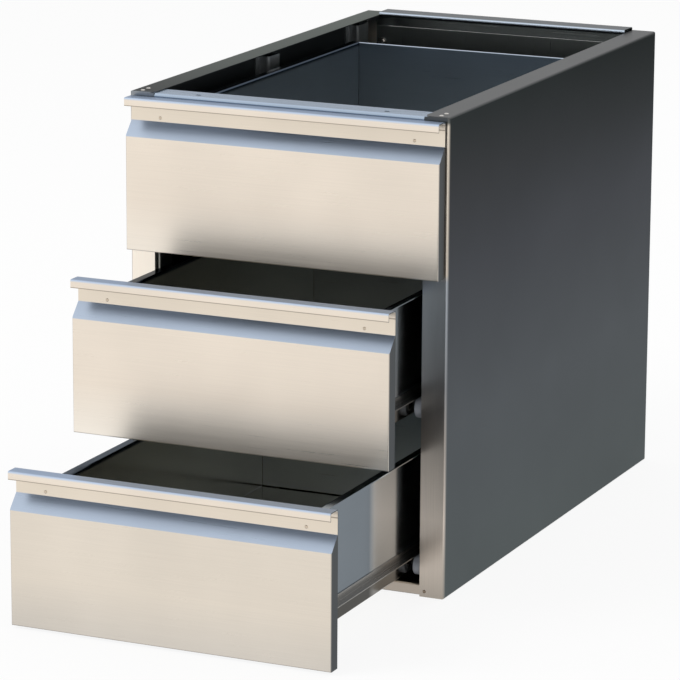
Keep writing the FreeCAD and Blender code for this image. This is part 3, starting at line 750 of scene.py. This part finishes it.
# %% Turn the twelve rollers
BORE, HUB_RADIUS, RIM_RADIUS, ROLLER_RADIUS = 4.05, 6.4, 10.4, 12.5
HALF_WIDTH, DISHED_HALF_WIDTH, DISH_SLOPE, MOULD_EDGE = 4.5, 3.3, 0.5, 0.5
MEAN_RADIUS = (ROLLER_RADIUS + BORE) / 2
HALF_OUTLINE = [
    (BORE, HALF_WIDTH),
    (HUB_RADIUS, HALF_WIDTH),
    (HUB_RADIUS + DISH_SLOPE, DISHED_HALF_WIDTH),
    (RIM_RADIUS - DISH_SLOPE, DISHED_HALF_WIDTH),
    (RIM_RADIUS, HALF_WIDTH),
    (ROLLER_RADIUS, HALF_WIDTH),
]
outline = HALF_OUTLINE + [(radius, -across) for radius, across in HALF_OUTLINE[::-1]]
corners = [(MEAN_RADIUS - radius, across, 0) for radius, across in outline]
loop = [(i, (i + 1) % len(corners)) for i in range(len(corners))]

offsets = []
for end in ("front", "rear"):
    for n in DRAWERS:
        for side in SIDES:
            node = f"{end}_roller_{n}_{side}"
            low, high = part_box(node)
            values = {
                "Mean radius": MEAN_RADIUS * MM,
                "Edge radius": MOULD_EDGE * MM,
                "Place": (Vector(low) + Vector(high)) / 2,
                "Finish": nylon if end == "front" else painted_shade_nylon,
            }
            roller = grow(f"nylon_{node}", TURNED_PART, corners, loop, values)
            offsets.append(stand_in_for(roller, node, node))
faces = len(roller.data.polygons)
print(len(offsets), "rollers of", faces, "faces; largest offset", round(max(offsets), 3), "mm")

# %% [markdown]
# ## Pins, rivets, screws and bolts
# Each kind of fastener is one shape that repeats, so a tree builds the shape once from its sizes and sets it
# on every point that it is given. A rivet's head is a low dome with a dimple where its mandrel broke off. A
# roller pin is a stud with a collar behind the roller and a spread head in front of it.


# %% A tree for domed heads
FACING_FRONT = (math.pi / 2, 0, 0)
FACING_UP = (0, 0, 0)
DIMPLE_RIM, DIMPLE_FLOOR = 0.88, 0.97


def dome(tree, radius, rise, dimple):
    """A dome that stands on the XY plane. Its dimple lies between two shares of the dome's height."""
    ball = add(tree, "GeometryNodeMeshUVSphere", {"Segments": 28, "Rings": 16, "Radius": 1})
    place = add(tree, "GeometryNodeInputPosition")
    parts = add(tree, "ShaderNodeSeparateXYZ", {0: place.outputs[0]})
    flat = add(tree, "ShaderNodeMath", {0: parts.outputs["Z"], 1: 0}, operation="MAXIMUM")
    tall = add(tree, "ShaderNodeMath", {0: flat.outputs[0], 1: rise}, operation="MULTIPLY")
    crown = add(
        tree,
        "ShaderNodeMapRange",
        {
            "Value": parts.outputs["Z"],
            "From Min": DIMPLE_RIM,
            "From Max": DIMPLE_FLOOR,
            "To Max": dimple,
        },
        interpolation_type="SMOOTHSTEP",
    )
    height = add(tree, "ShaderNodeMath", {0: tall.outputs[0], 1: crown.outputs[0]}, operation="SUBTRACT")
    wide = [
        add(tree, "ShaderNodeMath", {0: parts.outputs[axis], 1: radius}, operation="MULTIPLY").outputs[0]
        for axis in "XY"
    ]
    spot = add(tree, "ShaderNodeCombineXYZ", {"X": wide[0], "Y": wide[1], "Z": height.outputs[0]})
    shaped = add(
        tree, "GeometryNodeSetPosition", {"Geometry": ball.outputs[0], "Position": spot.outputs[0]}
    )
    return shaped.outputs[0]


def head_tree():
    """Sets one domed head on every point."""
    inputs = {"Radius": "Float", "Rise": "Float", "Dimple": "Float", "Turn": "Rotation", "Finish": "Material"}
    tree, given = new_tree("Domed heads", inputs)
    head = dome(tree, given["Radius"], given["Rise"], given["Dimple"])
    placed = add(
        tree,
        "GeometryNodeInstanceOnPoints",
        {"Points": given["Geometry"], "Instance": head, "Rotation": given["Turn"]},
    )
    close_tree(tree, placed.outputs[0], given["Finish"])
    return tree


DOMED_HEADS = head_tree()
print(DOMED_HEADS.name, "has", len(DOMED_HEADS.nodes), "nodes")


def heads(name, points, turn, finish, radius, rise, dimple=0.35):
    """Domed heads on points, all in millimetres."""
    values = {
        "Radius": radius * MM,
        "Rise": rise * MM,
        "Dimple": dimple * MM,
        "Turn": turn,
        "Finish": finish,
    }
    return grow(name, DOMED_HEADS, points, [], values)


def on_both_sides(x, y, z):
    """A place and its mirror image on the left."""
    return [(sign * x, y, z) for sign in SIDES.values()]


# %% Set the rivets and screws
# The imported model's heads reach this far from their centres.
REACH = 2.6

rivets = []
for n in DRAWERS:
    low, high = millimetres(f"drawer_{n}_rivets")
    spots = on_both_sides(high.x - REACH, high.y, (low.z + high.z) / 2)
    pair = heads(f"strip_rivets_{n}", spots, FACING_FRONT, strip_rivet_steel, radius=1.9, rise=0.8)
    stand_in_for(pair, f"drawer_{n}_rivets", f"drawer_{n}")
    rivets.append(pair)
low, high = millimetres("corner_rivets")
spots = on_both_sides(high.x - REACH, low.y + REACH, low.z)
spots += on_both_sides(high.x - REACH, high.y - REACH, low.z)
four = heads("top_corner_rivets", spots, FACING_UP, rivet_steel, radius=2.6, rise=1.1)
stand_in_for(four, "corner_rivets", "cabinet")
rivets.append(four)
low, high = millimetres("floor_screws")
spots = on_both_sides(high.x - REACH, high.y, (low.z + high.z) / 2)
pair = heads("foot_screws", spots, FACING_FRONT, screw_steel, radius=2.0, rise=0.9, dimple=0.5)
stand_in_for(pair, "floor_screws", "cabinet")
rivets.append(pair)
print(len(rivets), "sets of heads,", sum(len(piece.data.polygons) for piece in rivets), "faces")


# %% [markdown]
# ### Roller pins
# A front pin points inward from the case's side and a rear one outward from the box's wall. Both are a
# shank, a collar that keeps the roller off the sheet, and a spread head. One tree serves both: it reads on
# which side of the middle a point lies and turns the pin there, inward or outward as its input says.

# %% A tree for roller pins
PIN_RADIUS, COLLAR_RADIUS, COLLAR_WIDTH = 4 * MM, 6.4 * MM, 1.6 * MM
HEAD_RADIUS, HEAD_RISE, HEAD_DIMPLE = 5.6 * MM, 1.2 * MM, 0.2 * MM
ROUND = 40


def pin_tree():
    """Builds one pin along Z and turns a copy of it to the left or right on every point."""
    inputs = {"Radius": "Float", "Length": "Float", "Collar place": "Float", "Outward": "Float"}
    inputs["Finish"] = "Material"
    tree, given = new_tree("Roller pins", inputs)
    half = add(tree, "ShaderNodeMath", {0: given["Length"], 1: 0.5}, operation="MULTIPLY")
    middle = add(tree, "ShaderNodeCombineXYZ", {"Z": half.outputs[0]})
    shank = add(
        tree,
        "GeometryNodeMeshCylinder",
        {"Vertices": ROUND, "Radius": given["Radius"], "Depth": given["Length"]},
    )
    shank = add(
        tree, "GeometryNodeTransform", {"Geometry": shank.outputs[0], "Translation": middle.outputs[0]}
    )
    collar = add(
        tree,
        "GeometryNodeMeshCylinder",
        {"Vertices": ROUND, "Radius": COLLAR_RADIUS, "Depth": COLLAR_WIDTH},
    )
    collar_spot = add(tree, "ShaderNodeCombineXYZ", {"Z": given["Collar place"]})
    collar = add(
        tree, "GeometryNodeTransform", {"Geometry": collar.outputs[0], "Translation": collar_spot.outputs[0]}
    )
    tip = add(tree, "ShaderNodeCombineXYZ", {"Z": given["Length"]})
    head = add(
        tree,
        "GeometryNodeTransform",
        {"Geometry": dome(tree, HEAD_RADIUS, HEAD_RISE, HEAD_DIMPLE), "Translation": tip.outputs[0]},
    )
    pin = add(tree, "GeometryNodeJoinGeometry")
    for part in (shank, collar, head):
        tree.links.new(part.outputs[0], pin.inputs[0])
    place = add(tree, "GeometryNodeInputPosition")
    parts = add(tree, "ShaderNodeSeparateXYZ", {0: place.outputs[0]})
    side = add(tree, "ShaderNodeMath", {0: parts.outputs["X"]}, operation="SIGN")
    outward = add(tree, "ShaderNodeMath", {0: side.outputs[0], 1: given["Outward"]}, operation="MULTIPLY")
    angle = add(tree, "ShaderNodeMath", {0: outward.outputs[0], 1: math.pi / 2}, operation="MULTIPLY")
    turn = add(tree, "ShaderNodeCombineXYZ", {"Y": angle.outputs[0]})
    rotation = add(tree, "FunctionNodeEulerToRotation", {0: turn.outputs[0]})
    placed = add(
        tree,
        "GeometryNodeInstanceOnPoints",
        {"Points": given["Geometry"], "Instance": pin.outputs[0], "Rotation": rotation.outputs[0]},
    )
    close_tree(tree, placed.outputs[0], given["Finish"])
    return tree


ROLLER_PINS = pin_tree()
print(ROLLER_PINS.name, "has", len(ROLLER_PINS.nodes), "nodes")


def pins(name, points, length, collar_place, outward):
    """Roller pins on points, in millimetres, that point outward for 1 and inward for -1."""
    values = {
        "Radius": PIN_RADIUS,
        "Length": length * MM,
        "Collar place": collar_place * MM,
        "Outward": outward,
        "Finish": rivet_steel,
    }
    return grow(name, ROLLER_PINS, points, [], values)


# %% Set the roller pins
BOX_FLANGE, COLLAR_GAP = 10, 1.0

low, high = millimetres("front_roller_pins")
roller_low, roller_high = millimetres("front_roller_1_right")
spots = []
for n in DRAWERS:
    first, last = millimetres(f"front_roller_{n}_right")
    spots += on_both_sides(high.x, (first.y + last.y) / 2, (first.z + last.z) / 2)
long = high.x - roller_low.x
front_set = pins("front_roller_studs", spots, long, high.x - roller_high.x - COLLAR_GAP, -1.0)
stand_in_for(front_set, "front_roller_pins", "cabinet")
for n in DRAWERS:
    low, high = millimetres(f"drawer_{n}_roller_pins")
    first, last = millimetres(f"rear_roller_{n}_right")
    wall = millimetres(f"drawer_{n}_box")[1].x - BOX_FLANGE
    spots = on_both_sides(wall, (low.y + high.y) / 2, (low.z + high.z) / 2)
    rear_set = pins(f"rear_roller_studs_{n}", spots, high.x - wall, first.x - wall - COLLAR_GAP, 1.0)
    stand_in_for(rear_set, f"drawer_{n}_roller_pins", f"drawer_{n}")
print("front studs", round(long, 1), "mm, rear studs", round(high.x - wall, 1), "mm")


# %% [markdown]
# ### Bolts
# The back panel hangs on six hexagon bolts. A cone with six sides makes a head whose crown is a little
# narrower than its foot, as a forged one is, and a flat washer spreads its load over the thin flange.

# %% A tree for hexagon bolts
WASHER = 0.8 * MM
CROWN_SHARE, WASHER_SHARE = 0.9, 1.45


def bolt_tree():
    """Sets one hexagon head on its washer on every point."""
    inputs = {"Radius": "Float", "Rise": "Float", "Turn": "Rotation", "Finish": "Material"}
    tree, given = new_tree("Hexagon bolts", inputs)
    top = add(tree, "ShaderNodeMath", {0: given["Radius"], 1: CROWN_SHARE}, operation="MULTIPLY")
    wide = add(tree, "ShaderNodeMath", {0: given["Radius"], 1: WASHER_SHARE}, operation="MULTIPLY")
    sizes = {"Vertices": 6, "Radius Top": top.outputs[0], "Radius Bottom": given["Radius"]}
    head = add(tree, "GeometryNodeMeshCone", {**sizes, "Depth": given["Rise"]})
    sizes = {"Vertices": 28, "Radius": wide.outputs[0], "Depth": WASHER}
    washer = add(tree, "GeometryNodeMeshCylinder", sizes)
    lift = {"Geometry": washer.outputs[0], "Translation": (0, 0, WASHER / 2)}
    washer = add(tree, "GeometryNodeTransform", lift)
    bolt = add(tree, "GeometryNodeJoinGeometry")
    for part in (head, washer):
        tree.links.new(part.outputs[0], bolt.inputs[0])
    placed = add(
        tree,
        "GeometryNodeInstanceOnPoints",
        {"Points": given["Geometry"], "Instance": bolt.outputs[0], "Rotation": given["Turn"]},
    )
    close_tree(tree, placed.outputs[0], given["Finish"])
    return tree


HEXAGON_BOLTS = bolt_tree()
BOLT_CORNER, BOLT_FLAT, BOLT_RISE = 4, 3.5, 3
low, high = millimetres("back_bolts")
spots = []
for height in (low.z + BOLT_FLAT, (low.z + high.z) / 2, high.z - BOLT_FLAT):
    spots += on_both_sides(high.x - BOLT_CORNER, high.y, height)
values = {
    "Radius": BOLT_CORNER * MM,
    "Rise": BOLT_RISE * MM,
    "Turn": FACING_FRONT,
    "Finish": rivet_steel,
}
bolts = grow("back_panel_bolts", HEXAGON_BOLTS, spots, [], values)
offset = stand_in_for(bolts, "back_bolts", "cabinet")
print(len(spots), "bolts, whose washers stand", round(offset, 2), "mm outside their node's box")

# %% [markdown]
# ## Dress the folded sheets
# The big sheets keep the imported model's shape. Its meshes are loose triangles, so a Weld joins them, a Bevel
# breaks the sharp edges by a quarter of a millimetre, as deburring does, and a small tree shades every fold
# softly and leaves the corners crisp. The last modifier weighs the normals by the size of the faces, because
# the narrow new ones at the edges would bend the mirror image in the walls. Modifiers leave the mesh itself
# as it is, and it may not change.


# %% Give each sheet its modifiers and its finish
def shade_tree():
    """A tree that only shades, for pieces that keep their own mesh."""
    tree, given = new_tree("Shade folds", {})
    add(tree, "NodeGroupOutput", {0: shade_folds(tree, given["Geometry"])})
    return tree


SHADE_FOLDS = shade_tree()
WELD_REACH, BROKEN_EDGE, FLUSH_EDGE = 0.005 * MM, 0.25 * MM, 0.05 * MM
FLUSH = ("back_panel", "rear_top_rail")
SHEETS = {
    "side_panel_right": right_side_steel,
    "side_panel_left": left_side_steel,
    "front_top_rail": rail_steel,
    "rear_top_rail": rear_rail_steel,
    "back_panel": back_panel_steel,
    "bottom_panel": floor_steel,
}
for n in DRAWERS:
    SHEETS[f"drawer_{n}_front"] = front_steel
    SHEETS[f"drawer_{n}_box"] = box_steel
    SHEETS[f"drawer_{n}_inner_front"] = drawer_back_steel


def dress(piece, material, edge):
    """Sets a piece's only material, welds it, breaks its edges and shades its folds."""
    piece.data.materials.clear()
    piece.data.materials.append(material)
    weld = piece.modifiers.new("Weld", "WELD")
    weld.merge_threshold = WELD_REACH
    bevel = piece.modifiers.new("Broken edges", "BEVEL")
    bevel.width = edge
    bevel.segments = 2
    bevel.limit_method = "ANGLE"
    bevel.angle_limit = SOFT_ANGLE
    bevel.use_clamp_overlap = True
    shade = piece.modifiers.new("Shade folds", "NODES")
    shade.node_group = SHADE_FOLDS
    keep_flats_flat(piece)


# Two sheets lie flush with each other at the back, where wide edges would show as a groove.
for name, material in SHEETS.items():
    dress(nodes[name], material, FLUSH_EDGE if name in FLUSH else BROKEN_EDGE)
bare = [name for name, piece in nodes.items() if name not in SHEETS and not piece.hide_render]
print("dressed", len(SHEETS), "sheets; nodes without a finish:", bare)

# %% [markdown]
# ## Floor and light
# A pale floor carries the object's shadow and runs out into a white world. Metal shows what stands round it,
# so the world is even and white for reflections too. Two wide lamps from the front left and from behind give
# the floor and the nylon a direction of light; steel would only mirror them as hot spots, so they don't show
# in it. The level is kept low, so that a colour comes out about as it is written.

# %% Floor, world and lamps
# Lengths are in metres here.
FLOOR_SIZE = 40.0
LOOKED_AT = Vector((0, 0, 0.3))
SHADOW_SHARE = 0.12
WORLD_FILL = 0.75


def seen_or_mirrored(tree):
    """One where the camera sees a thing or sees it in a mirror, and zero where it only sheds light."""
    ray = add(tree, "ShaderNodeLightPath").outputs
    either = {0: ray["Is Camera Ray"], 1: ray["Is Glossy Ray"]}
    return add(tree, "ShaderNodeMath", either, operation="MAXIMUM").outputs[0]


def floor_material():
    """White to the eye, with part of its light left to the lamps so that it keeps a shadow."""
    material = bpy.data.materials.new("pale_floor")
    material.use_nodes = True
    tree = material.node_tree
    tree.nodes.clear()
    direct = seen_or_mirrored(tree)
    glow = add(tree, "ShaderNodeEmission", {"Color": solid("#FFFFFF"), "Strength": 1})
    lit = add(tree, "ShaderNodeBsdfDiffuse", {"Color": solid("#F3F3F3")})
    share = add(
        tree,
        "ShaderNodeMath",
        {0: direct, 1: 1 - SHADOW_SHARE},
        operation="MULTIPLY",
    )
    mixed = add(
        tree, "ShaderNodeMixShader", {0: share.outputs[0], 1: lit.outputs[0], 2: glow.outputs[0]}
    )
    add(tree, "ShaderNodeOutputMaterial", {"Surface": mixed.outputs[0]})
    return material


floor_mesh = bpy.data.meshes.new("floor")
half = FLOOR_SIZE / 2
corners = [(-half, -half, 0), (half, -half, 0), (half, half, 0), (-half, half, 0)]
floor_mesh.from_pydata(corners, [], [(0, 1, 2, 3)])
floor_mesh.materials.append(floor_material())
floor = bpy.data.objects.new("floor", floor_mesh)
bpy.context.scene.collection.objects.link(floor)

world = bpy.data.worlds.new("studio")
world.use_nodes = True
bpy.context.scene.world = world
sky = world.node_tree
sky.nodes.clear()
level = add(
    sky, "ShaderNodeMapRange", {"Value": seen_or_mirrored(sky), "To Min": WORLD_FILL, "To Max": 1.0}
)
glow = add(sky, "ShaderNodeBackground", {"Color": solid("#FFFFFF"), "Strength": level.outputs[0]})
add(sky, "ShaderNodeOutputWorld", {"Surface": glow.outputs[0]})


def lamp(name, place, size, power):
    """A wide square lamp that looks at the middle of the unit."""
    data = bpy.data.lights.new(name, "AREA")
    data.size = size
    data.energy = power
    light = bpy.data.objects.new(name, data)
    light.location = place
    light.rotation_euler = (LOOKED_AT - Vector(place)).to_track_quat("-Z", "Y").to_euler()
    light.visible_glossy = False
    bpy.context.scene.collection.objects.link(light)
    return light


lamps = [
    lamp("key", place=(-2.2, -2.6, 2.6), size=2.0, power=60),
    lamp("rim", place=(1.0, 2.4, 3.0), size=2.0, power=25),
]
print("a floor of", FLOOR_SIZE, "m and", len(lamps), "lamps")

# %% [markdown]
# ## View settings
# The view settings stay plain, so that what the finishes say is what the picture shows.

# %% Plain view settings
bpy.context.scene.view_settings.view_transform = "Standard"
